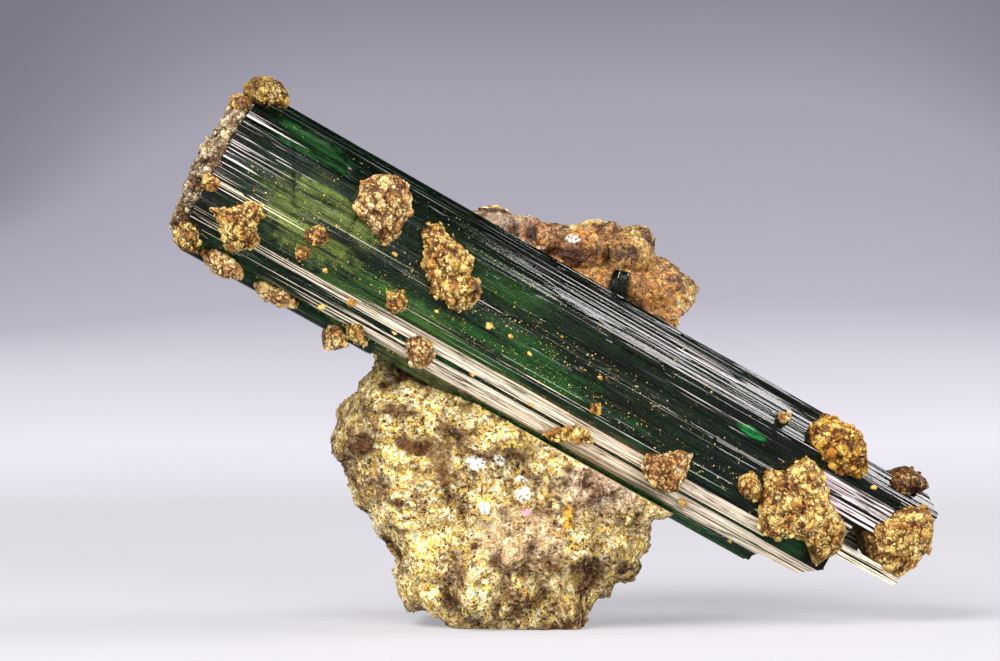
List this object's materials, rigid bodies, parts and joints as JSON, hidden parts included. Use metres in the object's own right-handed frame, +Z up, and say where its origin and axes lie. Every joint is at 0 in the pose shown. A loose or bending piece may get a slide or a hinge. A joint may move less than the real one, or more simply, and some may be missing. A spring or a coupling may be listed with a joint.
{
  "type": "tourmaline crystal on matrix",
  "caption": "Long striated dark green tourmaline crystal lying slantwise across an upright lump of feldspar and mica matrix, with small mica clusters on its faces; stands on a flat base.",
  "frame": {"origin": "middle of the flat underside of the matrix, on the surface that the specimen stands on", "axes": "+Z up, -Y towards the side from which the long crystal shows best, +X to the right, where the crystal's lower end is"},
  "size_m": [0.0915, 0.0444, 0.0651],
  "materials": {
    "tourmaline": "gloss",
    "matrix": "matte",
    "mica": "satin"
  },
  "bodies": {
    "root": {"tourmaline_crystal": "tourmaline", "small_tourmaline": "tourmaline", "matrix_rock": "matrix", "mica_corner_book": "mica", "mica_corner_small": "mica", "mica_end_crust": "mica", "mica_end_patch": "mica", "mica_foot_crust": "mica", "mica_left_star": "mica", "mica_left_edge": "mica", "mica_edge_strip": "mica", "mica_round_upper": "mica", "mica_round_lower": "mica", "mica_upper_left": "mica", "mica_slanting": "mica", "mica_pale_centre": "mica", "mica_lower_centre": "mica", "mica_lower_small": "mica", "mica_under_edge": "mica", "mica_orange_crumb": "mica", "mica_thin_flakes": "mica", "mica_horned": "mica", "mica_top_crumb": "mica", "mica_upper_right": "mica", "mica_great_cluster": "mica", "mica_beside_great": "mica", "mica_dark_end": "mica", "mica_right_end": "mica"}
  },
  "joints": []
}
